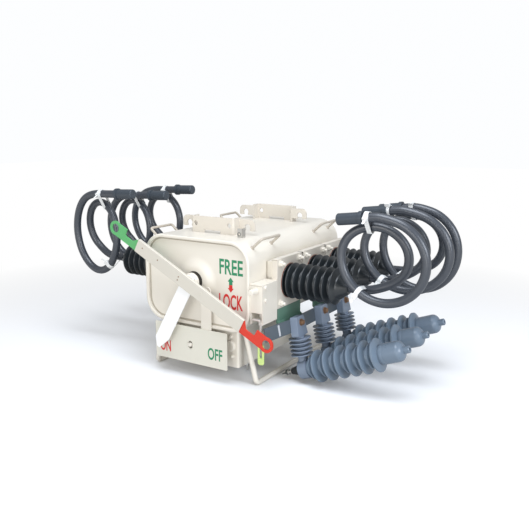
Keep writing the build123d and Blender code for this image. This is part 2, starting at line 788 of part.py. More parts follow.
def arrester_hanger(y):
    """A block on the bar, a finned neck and a round foot behind the arrester."""
    half = bar_thickness / 2
    low = hanger_block_rise - hanger_block_height / 2
    high = hanger_block_rise + hanger_block_height / 2
    wide = hanger_block_width / 2
    narrow = hanger_block_top_width / 2
    face = make_face(Polyline((y - wide, low), (y + wide, low), (y + narrow, high), (y - narrow, high),
                              close=True))
    head = extrude(Plane.YZ.offset(half) * face, hanger_block_thickness)
    head = bar_place * fillet(head.edges().filter_by(Axis.X), hanger_block_round)
    foot_end = arrester_base(y)
    foot_middle = foot_end - arrester_axis * arrester_base_front
    neck_top = foot_middle - hanger_axis * (hanger_reach_down - hanger_block_height / 2 + hanger_block_rise)
    neck = bar_between(neck_top - hanger_axis * fin_pitch, foot_middle, hanger_core_radius)
    neck -= bar_between(foot_end, foot_end + arrester_axis * arrester_shed_pitch,
                        arrester_shed_radius + overrun)
    piece = head + neck
    for n in range(fin_count):
        start = neck_top + hanger_axis * (fin_pitch / 2 + n * fin_pitch)
        piece += bar_between(start, start + hanger_axis * fin_thickness, fin_radius)
    for n in range(fin_count - 1):
        start = neck_top + hanger_axis * (n + 1) * fin_pitch
        piece += bar_between(start, start + hanger_axis * fin_thickness, small_fin_radius)
    foot = bar_between(foot_end - arrester_axis * arrester_base_length, foot_end, arrester_base_radius)
    return piece + foot


def arrester_outline():
    outline = [(0, 0), (arrester_core_radius, 0)]
    for n in range(arrester_shed_count):
        place = arrester_first_shed + n * arrester_shed_pitch
        half = arrester_shed_pitch / 4
        for middle, radius in ((place - half, arrester_small_shed_radius),
                               (place + half, arrester_shed_radius)):
            tip = arrester_shed_tip / 2
            outline += [(arrester_core_radius, middle - half), (radius, middle - tip), (radius, middle + tip)]
    end = arrester_first_shed + (arrester_shed_count - 1) * arrester_shed_pitch + arrester_shed_pitch / 2
    cap_end = end + arrester_cap_length
    dome = [(arrester_cap_radius, cap_end - arrester_cap_round)]
    for turn in (30.0, 60.0):
        dome.append((arrester_cap_radius - arrester_cap_round * (1 - math.cos(math.radians(turn))),
                     cap_end - arrester_cap_round * (1 - math.sin(math.radians(turn)))))
    outline += [(arrester_core_radius, end), (arrester_cap_radius, end + arrester_shed_tip), *dome,
                (arrester_nub_radius, cap_end), (arrester_nub_radius, cap_end + arrester_nub_length),
                (0, cap_end + arrester_nub_length)]
    return outline


def arrester(y):
    return Plane(origin=arrester_base(y), x_dir=(0, 1, 0), z_dir=arrester_axis) * turned(arrester_outline())


def boot_start(y):
    return arrester_base(y) - arrester_axis * arrester_base_length


def arrester_boot(y):
    start = boot_start(y)
    plane = Plane(origin=start, x_dir=(0, 1, 0), z_dir=boot_axis)
    cone = plane * Cone(boot_radius, boot_tip_radius, boot_length, align=from_base)
    return cone - arrester_hanger(y)


def arrester_stud(y):
    start = boot_start(y) + boot_axis * boot_length
    stud = bar_between(start, start + boot_axis * stud_length, stud_radius)
    washer_start = start + boot_axis * stud_length / 3
    washer_end = washer_start + boot_axis * stud_washer_thickness
    return stud + bar_between(washer_start, washer_end, stud_washer_radius)


# Write every piece
write("tank_shell", tank_shell())
write("front_cover", front_cover())
write("rear_cover", rear_cover())
write("operating_shaft", operating_shaft())
write("handle_bar", handle_bar())
write("handle_close_hook", hook_plate(1))
write("handle_open_hook", hook_plate(-1))
write("position_pointer", position_pointer())
write("indicator_plate", indicator_plate())
write("indicator_strap", indicator_strap())
write("mechanism_box", mechanism_box())
write("lock_box", lock_box())
write("lock_button", lock_button())
write("lock_latch", lock_latch())
write("lock_rod", lock_rod())
write("lock_pull_ring", lock_pull_ring())
for side_name, side in sides.items():
    write(f"{side_name}_bushing_box", bushing_box(side))
    write(f"{side_name}_flange_plates", flange_plates(side))
    write(f"{side_name}_skid", skid(side))
    for end_name, end in (("front", -1), ("rear", 1)):
        write(f"{side_name}_{end_name}_lifting_rod", lifting_rod(side, end))
    for phase_name, y in zip(phase_names, phases):
        write(f"{side_name}_{phase_name}_bushing", bushing(side, y))
        route = lead_route(side_name, phase_name, y)
        tube, length = lead(route)
        write(f"{side_name}_{phase_name}_lead", tube)
        write(f"{side_name}_{phase_name}_lead_cap", lead_cap(route))
        share = tube.volume / (math.pi * lead_radius ** 2 * length)
        print(side_name, phase_name, "lead", round(length), "mm, volume share", round(share, 4), "least bend",
              round(min(lead_radii(route))))
write("front_hanger", hanger(-1))
write("rear_hanger", hanger(1))
write("earth_tab", earth_tab())
write("arrester_bar", arrester_bar())
write("bar_arms", bar_arms())
write("arrester_hangers", Compound(children=[arrester_hanger(y) for y in arrester_places]))
write("arrester_boots", Compound(children=[arrester_boot(y) for y in arrester_places]))
write("arrester_studs", Compound(children=[arrester_stud(y) for y in arrester_places]))
for phase_name, y in zip(phase_names, arrester_places):
    write(f"{phase_name}_arrester", arrester(y))
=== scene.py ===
# %% [markdown]
# # Dressing a pole-mounted gas load break switch
# The solids are the fixed frame: a rounded tank on skids, a turning handle and pointer, ribbed bushings
# with coiled leads, and surge arresters on a side bar. Here each solid gets a finish, soft edges and the
# small parts that a buyer would see. Blender works in metres, while most places and sizes below are
# written in millimetres, as on a drawing, and MM turns one into the other.

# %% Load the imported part
import json
import math

import bmesh
import bpy
from mathutils import Matrix, Vector


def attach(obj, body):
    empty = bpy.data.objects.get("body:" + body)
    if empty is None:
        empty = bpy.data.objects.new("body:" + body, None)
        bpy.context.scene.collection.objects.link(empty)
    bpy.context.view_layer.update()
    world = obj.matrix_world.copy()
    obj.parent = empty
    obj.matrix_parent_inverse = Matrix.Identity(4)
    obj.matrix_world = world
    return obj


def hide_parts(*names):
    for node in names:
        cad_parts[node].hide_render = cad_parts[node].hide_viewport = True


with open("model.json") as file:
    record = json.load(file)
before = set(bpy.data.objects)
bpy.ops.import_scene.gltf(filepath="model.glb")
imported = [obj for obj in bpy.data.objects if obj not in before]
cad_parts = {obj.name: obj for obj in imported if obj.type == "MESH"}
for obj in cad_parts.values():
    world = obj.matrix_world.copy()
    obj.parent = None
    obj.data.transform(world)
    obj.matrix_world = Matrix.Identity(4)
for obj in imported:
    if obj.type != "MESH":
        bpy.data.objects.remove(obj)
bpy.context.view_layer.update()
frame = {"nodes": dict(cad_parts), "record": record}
nodes = frame["nodes"]
MM = 0.001

# %% [markdown]
# The switch is seen from the front right, a little above the tank. A camera could be aimed at a point by a
# constraint, but its lens would stay a guess. Its place, its two turns and its lens belong together, and
# all of them follow from the tank's edges, so they are set once and nothing is aimed by hand.

# %% Camera
scene = bpy.context.scene
look_down = 11.61
look_left = 31.95
camera_data = bpy.data.cameras.new("catalogue_camera")
camera_data.lens = 45.26
camera_data.sensor_width = 36.0
camera_data.clip_end = 60.0
camera = bpy.data.objects.new("catalogue_camera", camera_data)
camera.location = (1.49036, -2.25467, 0.93427)
camera.rotation_euler = (math.radians(90 - look_down), 0, math.radians(look_left))
scene.collection.objects.link(camera)
bpy.context.scene.camera = camera
print("camera: lens", camera_data.lens, "mm")

# %% [markdown]
# A product photograph of pale enamel needs broad, soft light. One strong world light would do, but it
# would also grey the paper behind the switch, so the world does two jobs: rays that light the switch meet
# a moderate grey, and rays that come straight from the camera meet white paper.

# %% World
scene.view_settings.view_transform = "Standard"


def feed(tree, node, values):
    """Link each named socket to another node's output, or set a constant on it."""
    for label, value in values.items():
        if hasattr(value, "is_output"):
            tree.links.new(value, node.inputs[label])
        else:
            node.inputs[label].default_value = value


def studio_world(colour, fill, paper):
    """A world that fills the shadows at one strength and shows as paper at another."""
    world = bpy.data.worlds.new("studio")
    world.use_nodes = True
    tree = world.node_tree
    surround = tree.nodes["Background"]
    sheet = tree.nodes.new("ShaderNodeBackground")
    feed(tree, surround, {"Color": (*colour, 1), "Strength": fill})
    feed(tree, sheet, {"Color": (*colour, 1), "Strength": paper})
    choose = tree.nodes.new("ShaderNodeMixShader")
    seen = tree.nodes.new("ShaderNodeLightPath").outputs["Is Camera Ray"]
    feed(tree, choose, {0: seen, 1: surround.outputs[0], 2: sheet.outputs[0]})
    feed(tree, tree.nodes["World Output"], {"Surface": choose.outputs[0]})
    scene.world = world


studio_world((0.98, 0.99, 1.0), fill=0.53, paper=1.0)
print("world:", scene.world.name)

# %% [markdown]
# Four round panels shape the light. A large one overhead gives the tank's shoulders their highlight, one in
# front fills the cover, a low one reaches the skids, and one at the right draws lines of light along the
# black leads. Small lamps would give hard shadows, so the panels are wide. Light from above is a little
# blue, as by day. The floor is one flat square, and not a piece of the switch.

# %% Panels and floor
def softbox(name, place, target, width, power, tint=(1.0, 1.0, 1.0)):
    """A round panel of light at a place in metres, turned to face a target."""
    lamp = bpy.data.lights.new(name, "AREA")
    lamp.color = tint
    lamp.shape = "DISK"
    lamp.size = width
    lamp.energy = power
    holder = bpy.data.objects.new(name, lamp)
    holder.location = place
    holder.rotation_euler = (Vector(target) - Vector(place)).to_track_quat("-Z", "Y").to_euler()
    scene.collection.objects.link(holder)


cool_light = (0.90, 0.96, 1.06)
softbox("overhead_panel", (0.5, -0.9, 3.0), (0, 0, 0.35), 2.0, 65, cool_light)
softbox("front_panel", (0.3, -3.6, 1.0), (0.1, 0, 0.3), 1.8, 30)
softbox("low_panel", (1.9, -2.4, 0.35), (0.25, -0.1, 0.05), 0.9, 9)
softbox("right_panel", (3.2, -1.0, 1.5), (0.4, 0, 0.4), 1.4, 48, cool_light)
floor_reach = 14
floor_mesh = bmesh.new()
bmesh.ops.create_grid(floor_mesh, x_segments=1, y_segments=1, size=floor_reach)
floor_data = bpy.data.meshes.new("studio_floor")
floor_mesh.to_mesh(floor_data)
floor_mesh.free()
studio_floor = bpy.data.objects.new("studio_floor", floor_data)
scene.collection.objects.link(studio_floor)
print("panels:", len(bpy.data.lights))

# %% [markdown]
# Paint is never one flat colour. An effect that many finishes share is built once, as a node group, and
# placed in each material with its own numbers. A group could be wired by hand, but small helpers that take
# a number or another node's output keep it short.

# %% Node helpers
def new_group(name, inputs, outputs):
    """An empty shader group with named sockets, and its two end nodes."""
    group = bpy.data.node_groups.new(name, "ShaderNodeTree")
    for label, kind, value in inputs:
        socket = group.interface.new_socket(label, in_out="INPUT", socket_type=kind)
        socket.default_value = value
    for label, kind in outputs:
        group.interface.new_socket(label, in_out="OUTPUT", socket_type=kind)
    return group, group.nodes.new("NodeGroupInput"), group.nodes.new("NodeGroupOutput")


def noise(tree, vector, scale, detail):
    node = tree.nodes.new("ShaderNodeTexNoise")
    feed(tree, node, {"Vector": vector, "Scale": scale, "Detail": detail})
    return node.outputs["Fac"]


def math_node(tree, operation, first, second):
    node = tree.nodes.new("ShaderNodeMath")
    node.operation = operation
    feed(tree, node, {0: first, 1: second})
    return node.outputs[0]


print("node helpers ready")

# %% [markdown]
# Sprayed enamel and moulded rubber both change a little from place to place. The skin group gives slow
# changes of tone, a roughness that wanders and a fine orange-peel height. An image could hold all three,
# but noise on Object coordinates has no seams and stays sharp at any distance.

# %% Skin group
slow_scale = 5.0
patch_scale = 38.0
slow_share = 0.65
patch_share = 0.35


def build_skin_group():
    """Slow tone changes, a fine skin for bump and a roughness that wanders a little."""
    group, start, end = new_group(
        "skin",
        [("Color", "NodeSocketColor", (1, 1, 1, 1)), ("Tone", "NodeSocketFloat", 0.06),
         ("Grain Scale", "NodeSocketFloat", 400.0), ("Roughness", "NodeSocketFloat", 0.4),
         ("Wander", "NodeSocketFloat", 0.1)],
        [("Color", "NodeSocketColor"), ("Roughness", "NodeSocketFloat"), ("Height", "NodeSocketFloat")])
    place = group.nodes.new("ShaderNodeTexCoord").outputs["Object"]
    slow = noise(group, place, slow_scale, detail=3.0)
    patch = noise(group, place, patch_scale, detail=4.0)
    fine = noise(group, place, start.outputs["Grain Scale"], detail=2.0)
    blend = math_node(group, "ADD", math_node(group, "MULTIPLY", slow, slow_share),
                      math_node(group, "MULTIPLY", patch, patch_share))
    tone = math_node(group, "SUBTRACT", blend, 0.5)
    tone = math_node(group, "MULTIPLY", tone, start.outputs["Tone"])
    tone = math_node(group, "ADD", tone, 1.0)
    scaled = group.nodes.new("ShaderNodeVectorMath")
    scaled.operation = "SCALE"
    feed(group, scaled, {0: start.outputs["Color"], "Scale": tone})
    wander = math_node(group, "SUBTRACT", patch, 0.5)
    wander = math_node(group, "MULTIPLY", wander, start.outputs["Wander"])
    rough = math_node(group, "ADD", start.outputs["Roughness"], wander)
    feed(group, end, {"Color": scaled.outputs["Vector"], "Roughness": rough, "Height": fine})
    return group


skin_group = build_skin_group()
print("group:", skin_group.name, len(skin_group.nodes), "nodes")

# %% [markdown]
# Dust settles on faces that look up. It could be painted on by hand, but the surface normal's height
# already tells which faces those are. A cloudy noise then breaks the mask, because even dust reads as a
# second coat of paint.

# %% Dust group
dust_slopes = (0.15, 0.95)
cloud_scale = 22.0
cloud_edges = (0.38, 0.68)
thinnest_dust = 0.15


def mix_colour(tree, factor, low, high):
    node = tree.nodes.new("ShaderNodeMix")
    node.data_type = "RGBA"
    feed(tree, node, {"Factor": factor, "A": low, "B": high})
    return [s for s in node.outputs if s.type == "RGBA"][0]


def remap(tree, value, from_low, from_high, to_low, to_high):
    node = tree.nodes.new("ShaderNodeMapRange")
    feed(tree, node, {"Value": value, "From Min": from_low, "From Max": from_high, "To Min": to_low,
                      "To Max": to_high})
    return node.outputs["Result"]


def build_dust_group():
    """Dust on faces that look up, broken by a cloudy noise."""
    group, start, end = new_group(
        "dust",
        [("Color", "NodeSocketColor", (1, 1, 1, 1)), ("Dust Color", "NodeSocketColor", (0.6, 0.58, 0.52, 1)),
         ("Amount", "NodeSocketFloat", 0.2)],
        [("Color", "NodeSocketColor")])
    place = group.nodes.new("ShaderNodeTexCoord").outputs["Object"]
    surface = group.nodes.new("ShaderNodeNewGeometry")
    split = group.nodes.new("ShaderNodeSeparateXYZ")
    feed(group, split, {"Vector": surface.outputs["Normal"]})
    upward = remap(group, split.outputs["Z"], *dust_slopes, 0.0, 1.0)
    cloud = remap(group, noise(group, place, cloud_scale, detail=5.0), *cloud_edges, thinnest_dust, 1.0)
    mask = math_node(group, "MULTIPLY", upward, cloud)
    mask = math_node(group, "MULTIPLY", mask, start.outputs["Amount"])
    colour = mix_colour(group, mask, start.outputs["Color"], start.outputs["Dust Color"])
    feed(group, end, {"Color": colour})
    return group


dust_group = build_dust_group()
print("group:", dust_group.name, len(dust_group.nodes), "nodes")

# %% [markdown]
# Each finish is one Principled shader with the skin group in front of it, and the dust group where dust
# shows. The shader stays in the material itself, and a number that is the same all over is set on the
# shader's own socket.

# %% Recipe for a finish
finishes = {}
coat_roughness = 0.18
scatter_radius = 0.004
skin_depth = 0.0006


def make_finish(name, colour, roughness, metallic=0.0, tone=0.06, grain=420.0, bump=0.05, wander=0.12,
                dust=0.0, dust_colour=(0.55, 0.53, 0.48), coat=0.0, subsurface=0.0, specular=0.5):
    material = bpy.data.materials.new(name)
    material.use_nodes = True
    tree = material.node_tree
    skin = tree.nodes.new("ShaderNodeGroup")
    skin.node_tree = skin_group
    feed(tree, skin, {"Color": (*colour, 1), "Tone": tone, "Grain Scale": grain, "Roughness": roughness,
                      "Wander": wander})
    surface_colour = skin.outputs["Color"]
    if dust:
        settled = tree.nodes.new("ShaderNodeGroup")
        settled.node_tree = dust_group
        feed(tree, settled, {"Color": surface_colour, "Dust Color": (*dust_colour, 1), "Amount": dust})
        surface_colour = settled.outputs["Color"]
    relief = tree.nodes.new("ShaderNodeBump")
    feed(tree, relief, {"Strength": bump, "Distance": skin_depth, "Height": skin.outputs["Height"]})
    feed(tree, tree.nodes["Principled BSDF"], {
        "Base Color": surface_colour, "Roughness": skin.outputs["Roughness"], "Metallic": metallic,
        "Normal": relief.outputs["Normal"], "Specular IOR Level": specular, "Coat Weight": coat,
        "Coat Roughness": coat_roughness, "Subsurface Weight": subsurface,
        "Subsurface Radius": (scatter_radius,) * 3})
    finishes[name] = material


print("skin depth:", skin_depth / MM, "mm")

# %% [markdown]
# The finishes are named for what they are on the switch. Colours are linear, so they look darker here than
# on the object. The switch is one cream enamel to the eye, and one material could serve. The plate has a
# slightly yellower cream of its own. The handle, the flanges with the hangers, and the rods get darker
# copies of the cream, which are painted shade, and the skids a lighter copy, which is painted light against
# the shade of the arresters above them.

# %% Painted finishes
make_finish("cream_enamel", (0.735, 0.688, 0.600), 0.36, tone=0.07, bump=0.06, coat=0.25, dust=0.06)
# The handle's cream is a darker copy of the cream enamel: painted shade.
make_finish("shaded_handle_enamel", (0.600, 0.565, 0.488), 0.38, coat=0.2)
make_finish("plate_enamel", (0.680, 0.655, 0.562), 0.42, bump=0.06, coat=0.15)
# A darker copy of the cream for the flanges and the hangers: painted shade.
make_finish("shaded_flange_enamel", (0.640, 0.590, 0.510), 0.40, tone=0.10, bump=0.08, coat=0.15, dust=0.10)
# The skids' cream is a lighter copy of the cream enamel: painted light, lifting the shade that the arresters
# cast on them.
make_finish("lit_skid_enamel", (0.760, 0.715, 0.630), 0.40, tone=0.12, bump=0.08, coat=0.15)
# The rods' cream is a darker, browner copy of the cream enamel: painted shade, which sets them off against
# the bright tank.
make_finish("shaded_rod_enamel", (0.470, 0.420, 0.350), 0.44, tone=0.10, bump=0.06)
make_finish("white_enamel", (0.90, 0.90, 0.89), 0.40, tone=0.03, coat=0.2)
make_finish("red_enamel", (0.61, 0.028, 0.007), 0.36, tone=0.10, coat=0.25)
make_finish("green_enamel", (0.088, 0.385, 0.125), 0.36, tone=0.10, coat=0.25)
make_finish("bar_enamel", (0.090, 0.110, 0.128), 0.42, tone=0.20, bump=0.08, dust=0.06)
make_finish("arm_enamel", (0.100, 0.205, 0.150), 0.5, tone=0.20, bump=0.08)
make_finish("lime_coating", (0.55, 0.70, 0.23), 0.38, tone=0.10, coat=0.2)
make_finish("green_mark", (0.018, 0.225, 0.100), 0.45, tone=0.12)
make_finish("red_mark", (0.60, 0.018, 0.018), 0.45, tone=0.12)
print("painted finishes:", len(finishes))

# %% [markdown]
# Bushings, leads, caps and arresters are rubber and resin: dark, smooth and a little glossy. Bump could
# give them a grain, but on a narrow curved rim it breaks the highlight into spots, so the glossiest have
# none. Plated steel is known by what it reflects, so it gets a metallic value.

# %% Rubber, plastic and metal finishes
make_finish("bushing_rubber", (0.012, 0.016, 0.019), 0.30, tone=0.04, grain=700.0, bump=0.0, wander=0.02,
            specular=0.7)
make_finish("lead_sheath", (0.031, 0.038, 0.050), 0.36, tone=0.08, grain=800.0, bump=0.0, wander=0.04,
            dust=0.04, dust_colour=(0.20, 0.21, 0.25), specular=0.85)
make_finish("cap_moulding", (0.037, 0.048, 0.061), 0.42, tone=0.10, grain=900.0)
make_finish("arrester_silicone", (0.145, 0.192, 0.248), 0.28, tone=0.05, grain=650.0, bump=0.0, wander=0.03,
            dust=0.04, dust_colour=(0.34, 0.38, 0.44))
make_finish("bracket_resin", (0.185, 0.230, 0.300), 0.40, tone=0.08, grain=650.0, bump=0.03)
make_finish("boot_rubber", (0.010, 0.013, 0.015), 0.46, tone=0.2, grain=800.0, bump=0.12)
# A dark brown rubber, used as painted shade in narrow gaps between parts.
make_finish("gap_shade_rubber", (0.045, 0.040, 0.034), 0.55, tone=0.15, bump=0.04)
# A brown line paint, used as painted shade where edges cast thin shadow lines.
make_finish("shadow_line_paint", (0.40, 0.355, 0.285), 0.60, tone=0.15, bump=0.08)
make_finish("gasket_orange", (0.26, 0.062, 0.024), 0.5, tone=0.2)
make_finish("tie_nylon", (0.77, 0.78, 0.77), 0.38, tone=0.04, subsurface=0.15)
make_finish("strip_film", (0.50, 0.52, 0.54), 0.45)
make_finish("zinc_plate", (0.60, 0.59, 0.56), 0.30, metallic=1.0, tone=0.16, grain=900.0, bump=0.10)
make_finish("bright_zinc", (0.74, 0.72, 0.67), 0.48, metallic=0.35, tone=0.10, grain=900.0, bump=0.06)
make_finish("dull_steel", (0.17, 0.18, 0.175), 0.42, metallic=0.8, tone=0.20, grain=900.0, bump=0.10)
make_finish("bronze_bolt", (0.26, 0.155, 0.090), 0.45, metallic=0.7, tone=0.35, grain=900.0, bump=0.15)
print("finishes:", len(finishes))

# %% [markdown]
# White paper under the switch has no edge in a studio. The floor is pale near the switch, so that it takes
# a soft shadow, and turns into plain glowing paper farther away. It also sends less light up than it shows
# to the camera, because a real sheet lies partly in the switch's own shade.

# %% Paper floor
def fade_to_paper(material, near, far, bounce):
    """Let the floor glow as plain paper away from the switch, and send little light back up."""
    tree = material.node_tree
    shader = tree.nodes["Principled BSDF"]
    seen = tree.nodes.new("ShaderNodeLightPath").outputs["Is Camera Ray"]
    pale = tuple(shader.inputs["Base Color"].links[0].from_node.inputs["Color"].default_value)
    feed(tree, shader, {"Base Color": mix_colour(tree, seen, (bounce, bounce, bounce, 1), pale)})
    reach = tree.nodes.new("ShaderNodeVectorMath")
    reach.operation = "LENGTH"
    feed(tree, reach, {0: tree.nodes.new("ShaderNodeTexCoord").outputs["Object"]})
    glow = tree.nodes.new("ShaderNodeEmission")
    blend = tree.nodes.new("ShaderNodeMixShader")
    share = remap(tree, reach.outputs["Value"], near, far, 0.0, 1.0)
    feed(tree, blend, {0: share, 1: shader.outputs[0], 2: glow.outputs[0]})
    feed(tree, tree.nodes["Material Output"], {"Surface": blend.outputs[0]})


make_finish("studio_white", (0.95, 0.95, 0.95), 0.85, tone=0.0, bump=0.0, wander=0.0)
floor_data.materials.append(finishes["studio_white"])
fade_to_paper(finishes["studio_white"], near=0.9, far=2.4, bounce=0.62)
print("floor:", floor_data.materials[0].name)

# %% [markdown]
# A piece is built as a bmesh at its own place, because the object itself has to stay at the origin. Every
# piece is then finished in the same way: smooth faces, sharp edges kept, one finish and a body to ride on. A
# weighted normal keeps wide flat faces flat beside their narrow bevels.

# %% Helpers that make pieces
default_sharp = 38


def soften(bm, edges, offset, segments=2, clamp_overlap=True):
    """Round edges with an even bevel, its width in millimetres."""
    bmesh.ops.bevel(bm, geom=edges, offset=offset * MM, segments=segments, profile=0.5, affect="EDGES",
                    material=-1, clamp_overlap=clamp_overlap)


def add_piece(name, bm, finish, sharp_angle=default_sharp, body="switch"):
    for face in bm.faces:
        face.smooth = True
    for edge in bm.edges:
        edge.smooth = len(edge.link_faces) == 2 and edge.calc_face_angle(0) < math.radians(sharp_angle)
    mesh = bpy.data.meshes.new(name)
    bm.to_mesh(mesh)
    bm.free()
    mesh.materials.append(finishes[finish])
    piece = bpy.data.objects.new(name, mesh)
    scene.collection.objects.link(piece)
    even = piece.modifiers.new("even_normals", "WEIGHTED_NORMAL")
    even.keep_sharp = True
    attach(piece, body)
    return piece


print("sharp from:", default_sharp, "degrees")

# %% [markdown]
# A solid from the frame is loose triangles with knife-sharp edges. Its own object could take a new
# material, but sheet metal is known by the light along its edges. So a copy is merged, its flat faces are
# joined again, and a narrow bevel goes along each sharp edge. The copy then stands for its solid.

# %% Dress a solid
weld_distance = 2e-6
flat_angle = math.radians(0.4)
sharp_edge = math.radians(default_sharp)
bodies = frame["record"]["behaviour"]["bodies"]
node_body = {node: body for body, names in bodies.items() for node in names}


def dressed(node, finish, bevel):
    bm = bmesh.new()
    bm.from_mesh(nodes[node].data)
    bmesh.ops.remove_doubles(bm, verts=bm.verts, dist=weld_distance)
    if bevel:
        bmesh.ops.dissolve_limit(bm, angle_limit=flat_angle, verts=bm.verts, edges=bm.edges)
        sharp = [e for e in bm.edges if len(e.link_faces) == 2 and e.calc_face_angle(0) > sharp_edge]
        soften(bm, sharp, bevel, clamp_overlap=False)
    piece = add_piece(f"{node}_dressed", bm, finish, body=node_body[node])
    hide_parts(node)


print("bodies:", sorted(bodies))

# %% [markdown]
# Most of the switch is cream: tank, covers, hangers, rods, flanges, lock box and handle. One bevel width
# could serve all, but real edges differ, so round bars get none, plates a small one and castings a larger
# one.

# %% Dress the cream solids
sides = ("right", "left")
ends = ("front", "rear")
phases = ("front", "middle", "rear")
cream_bevels = {"tank_shell": 0, "front_cover": 0, "rear_cover": 1.2, "operating_shaft": 0.8,
                "indicator_strap": 0.7, "mechanism_box": 1.5, "lock_box": 1.0, "lock_button": 0.8}
for side in sides:
    cream_bevels[f"{side}_bushing_box"] = 1.5
    # The flanges take the darker cream of painted shade, the skids a lighter cream of painted light, and the
    # rods a browner cream of painted shade.
    dressed(f"{side}_flange_plates", "shaded_flange_enamel", 2.2)
    dressed(f"{side}_skid", "lit_skid_enamel", 0)
    for end in ends:
        dressed(f"{side}_{end}_lifting_rod", "shaded_rod_enamel", 0)
for node, bevel in cream_bevels.items():
    dressed(node, "cream_enamel", bevel)
for end in ends:
    # The hangers share the flanges' darker cream, painted shade.
    dressed(f"{end}_hanger", "shaded_flange_enamel", 0.9)
# The handle's darker cream is painted shade.
dressed("handle_bar", "shaded_handle_enamel", 0.9)
dressed("indicator_plate", "plate_enamel", 0.6)
print("cream enamel on:", len(cream_bevels), "solids")

# %% [markdown]
# The rest has a colour that tells its use: a red and a green hook for the two pulls, a white pointer, a
# lime ring for the hook stick, plated steel for the lock, and dark enamel and resin on the arresters'
# side. Colour could be set face by face on one mesh, but each solid is a piece and has one finish.

# %% Dress the coloured solids
dressed("position_pointer", "white_enamel", 0.7)
dressed("handle_close_hook", "red_enamel", 0.8)
dressed("handle_open_hook", "green_enamel", 0.8)
for node in ("lock_latch", "lock_rod"):
    dressed(node, "bright_zinc", 0.6)
dressed("earth_tab", "zinc_plate", 0.6)
dressed("lock_pull_ring", "lime_coating", 0)
dressed("arrester_bar", "bar_enamel", 1.0)
dressed("bar_arms", "arm_enamel", 0.8)
dressed("arrester_hangers", "bracket_resin", 1.0)
dressed("arrester_boots", "boot_rubber", 1.0)
dressed("arrester_studs", "zinc_plate", 0.4)
for side in sides:
    for phase in phases:
        dressed(f"{side}_{phase}_lead_cap", "cap_moulding", 1.2)

# %% [markdown]
# The leads leave the bushings, run once round a small lap and once round a wider one, and end in a moulded
# cap. A mesh tube would show its joints, so each lead is one smooth NURBS spline with round thickness,
# through the same points as its solid. A lap is (centre beyond the bushing tip, centre height, half width,
# half height).

# %% Routes of the leads
lead_exit_x = 535.0
lead_radius = 15.8
bushing_height = 379.0
side_sign = {"right": 1, "left": -1}
phase_places = {"front": -154.0, "middle": 38.0, "rear": 230.0}
laps = {
    ("right", "front"): ((105, 507, 118, 108), (144, 500, 156, 148)),
    ("right", "middle"): ((103, 508, 114, 107), (154, 505, 164, 147)),
    ("right", "rear"): ((103, 500, 116, 112), (140, 483, 152, 160)),
    ("left", "front"): ((94, 510, 98, 114), (98, 488, 124, 172)),
    ("left", "middle"): ((80, 508, 102, 108), (82, 494, 126, 146)),
    ("left", "rear"): ((68, 512, 112, 112), (88, 500, 146, 150)),
}
lap_start = -60
lap_end = 450
lap_step = 30
widen_from = 120.0
widen_to = 250.0
lap_leans = {"front": -58, "middle": -60, "rear": -62}
lean_full = 160.0
end_lean = -18.0
end_lean_from = 300.0
lead_starts = ((0, 0, 0), (46, 0, 0), (92, -5, 5))
lead_tails = {"right": ((34.0, -1.0), (66.0, -5.0)), "left": ((60.0, 1.0), (134.0, 4.0))}


def share_between(value, low, high):
    return min(1.0, max(0.0, (value - low) / (high - low)))


def lap_point(side, phase, angle):
    """A point of a lead at an angle round its laps, from their start to the top of the second lap."""
    widen = share_between(angle, widen_from, widen_to)
    first_lap, second_lap = laps[side, phase]
    centre_x, centre_z, half_x, half_z = [a + (b - a) * widen for a, b in zip(first_lap, second_lap)]
    forward = lap_leans[phase] * share_between(angle, lap_start, lean_full)
    forward += end_lean * share_between(angle, end_lean_from, lap_end)
    turn = math.radians(angle)
    return Vector((side_sign[side] * (lead_exit_x + centre_x + half_x * math.cos(turn)),
                   phase_places[phase] + forward, centre_z + half_z * math.sin(turn))) * MM


def lead_points(side, phase):
    """The control points of a lead, in metres: straight out of the bushing, two laps and a short tail."""
    sign = side_sign[side]
    y = phase_places[phase]
    points = [Vector((sign * (lead_exit_x + out), y + forward, bushing_height + up)) * MM
              for out, forward, up in lead_starts]
    points += [lap_point(side, phase, angle) for angle in range(lap_start, lap_end + 1, lap_step)]
    top = points[-1]
    points += [top + Vector((-sign * run, 0, rise)) * MM for run, rise in lead_tails[side]]
    return points


print("points on a lead:", len(lead_points("right", "front")))

# %% [markdown]
# A lead is a thick rubber cable that holds its bend. Order three lets the spline follow its points
# closely, where a higher order would cut the corners of a lap. The endpoint setting makes it start and
# stop at its first and last point. Both are set after the points are there, because a short spline can't
# hold a high order.

# %% Coiled leads
def make_lead(side, phase):
    curve = bpy.data.curves.new(f"{side}_{phase}_lead_sheath", "CURVE")
    curve.dimensions = "3D"
    curve.bevel_depth = lead_radius * MM
    curve.bevel_resolution = 6
    curve.resolution_u = 10
    spline = curve.splines.new("NURBS")
    points = lead_points(side, phase)
    spline.points.add(len(points) - 1)
    for control, point in zip(spline.points, points):
        control.co = (*point, 1)
    spline.order_u = 3
    spline.use_endpoint_u = True
    curve.materials.append(finishes["lead_sheath"])
    lead = bpy.data.objects.new(f"{side}_{phase}_lead_sheath", curve)
    scene.collection.objects.link(lead)
    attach(lead, "switch")
    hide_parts(f"{side}_{phase}_lead")
    return lead


leads = {(side, phase): make_lead(side, phase) for side in sides for phase in phases}
print("leads:", len(leads))

# %% [markdown]
# White nylon ties hold each coil at its top and near the bushing. A tie could be a torus, but a real one
# is a flat band round two strands, so a circle is pulled to an oval, extruded to the band's width and
# given thickness. Most have a square head at the side with the cut tail beside it, and two have it on top.

